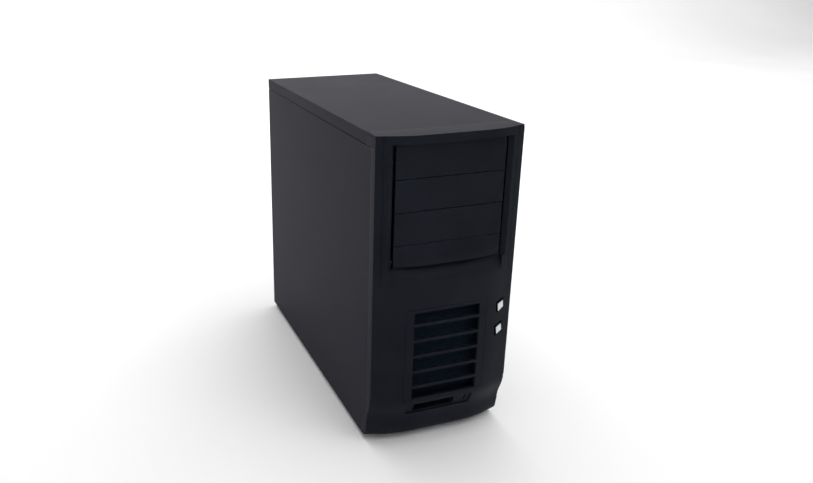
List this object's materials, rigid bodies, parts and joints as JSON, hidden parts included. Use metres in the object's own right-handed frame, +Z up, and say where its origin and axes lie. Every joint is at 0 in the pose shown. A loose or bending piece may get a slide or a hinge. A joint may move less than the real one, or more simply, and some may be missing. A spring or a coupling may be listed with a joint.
{
  "type": "desktop computer tower",
  "caption": "Black mid-size computer tower with a curved plastic front, covered drive bays, a slatted air grille, two silver buttons, sliding steel sides and the working parts inside.",
  "frame": {"origin": "centre of the footprint, on the surface the feet rest on", "axes": "+Z up, the front faces -Y, +X to the right as seen from the front"},
  "size_m": [0.205, 0.5, 0.436],
  "materials": {
    "bezel_plastic": "satin moulded ABS",
    "button_plastic": "silver paint",
    "panel_paint": "fine black powder coat",
    "bare_steel": "zinc-plated sheet",
    "screw_steel": "nickel-plated",
    "foot_rubber": "matte",
    "board_green": "solder mask",
    "fan_plastic": "moulded",
    "fin_aluminium": "extruded",
    "port_metal": "nickel-plated shells",
    "drive_metal": "cast housing",
    "inlet_plastic": "moulded",
    "cable_black": "braided sleeve",
    "cable_yellow": "PVC",
    "cable_red": "PVC"
  },
  "bodies": {
    "case": {"front_bezel": "bezel_plastic", "front_grille": "bezel_plastic", "drive_bay_cover_upper": "bezel_plastic", "drive_bay_cover_middle": "bezel_plastic", "drive_bay_cover_lower": "bezel_plastic", "floppy_bay_cover": "bezel_plastic", "front_switch_board": "board_green", "top_cover": "panel_paint", "base_pan": "panel_paint", "rear_panel": "bare_steel", "front_chassis_panel": "bare_steel", "bay_wall_left": "bare_steel", "bay_wall_right": "bare_steel", "bay_shelf": "bare_steel", "hard_drive_cage": "bare_steel", "hard_drive": "drive_metal", "motherboard_tray": "bare_steel", "motherboard": "board_green", "cpu_heatsink": "fin_aluminium", "cpu_fan_frame": "fan_plastic", "memory_module_1": "board_green", "memory_module_2": "board_green", "graphics_card": "board_green", "io_shield": "port_metal", "io_port_block": "port_metal", "power_supply_case": "bare_steel", "psu_fan_frame": "fan_plastic", "psu_fan_guard": "screw_steel", "power_inlet": "inlet_plastic", "rear_fan_frame": "fan_plastic", "front_fan_frame": "fan_plastic", "main_power_cable": "cable_black", "drive_power_cable": "cable_yellow", "data_cable": "cable_red", "switch_leads": "cable_black", "slot_cover_2": "port_metal", "slot_cover_3": "port_metal", "slot_cover_4": "port_metal", "slot_cover_5": "port_metal", "slot_cover_6": "port_metal", "slot_cover_7": "port_metal", "foot_front_left": "foot_rubber", "foot_front_right": "foot_rubber", "foot_rear_left": "foot_rubber", "foot_rear_right": "foot_rubber"},
    "left_panel": {"left_side_panel": "panel_paint", "thumbscrew_left_lower": "screw_steel", "thumbscrew_left_upper": "screw_steel"},
    "right_panel": {"right_side_panel": "panel_paint", "thumbscrew_right_lower": "screw_steel", "thumbscrew_right_upper": "screw_steel"},
    "power_button": {"power_button": "button_plastic"},
    "reset_button": {"reset_button": "button_plastic"},
    "front_fan_rotor": {"front_fan_rotor": "fan_plastic"},
    "rear_fan_rotor": {"rear_fan_rotor": "fan_plastic"},
    "cpu_fan_rotor": {"cpu_fan_rotor": "fan_plastic"},
    "psu_fan_rotor": {"psu_fan_rotor": "fan_plastic"},
    "psu_rocker": {"psu_rocker": "inlet_plastic"}
  },
  "joints": [
    {"name": "left_panel_slide", "type": "slide", "parent": "case", "child": "left_panel", "axis": [0, 1, 0], "range_m": [0, 0.02]},
    {"name": "right_panel_slide", "type": "slide", "parent": "case", "child": "right_panel", "axis": [0, 1, 0], "range_m": [0, 0.02]},
    {"name": "power_button_press", "type": "slide", "parent": "case", "child": "power_button", "axis": [0, 1, 0], "range_m": [0, 0.0025], "stiffness_N_per_m": 400, "springref_m": -0.001},
    {"name": "reset_button_press", "type": "slide", "parent": "case", "child": "reset_button", "axis": [0, 1, 0], "range_m": [0, 0.0025], "stiffness_N_per_m": 400, "springref_m": -0.001},
    {"name": "front_fan_spin", "type": "hinge", "parent": "case", "child": "front_fan_rotor", "pos_m": [0, -0.2073, 0.1373], "axis": [0, 1, 0], "continuous": true},
    {"name": "rear_fan_spin", "type": "hinge", "parent": "case", "child": "rear_fan_rotor", "pos_m": [-0.032, 0.2285, 0.238], "axis": [0, 1, 0], "continuous": true},
    {"name": "cpu_fan_spin", "type": "hinge", "parent": "case", "child": "cpu_fan_rotor", "pos_m": [0.0292, 0.1333, 0.249], "axis": [1, 0, 0], "continuous": true},
    {"name": "psu_fan_spin", "type": "hinge", "parent": "case", "child": "psu_fan_rotor", "pos_m": [-0.03, 0.227, 0.3745], "axis": [0, 1, 0], "continuous": true},
    {"name": "psu_rocker_tilt", "type": "hinge", "parent": "case", "child": "psu_rocker", "pos_m": [0.031, 0.2375, 0.3895], "axis": [1, 0, 0], "range_deg": [0, 16]}
  ]
}
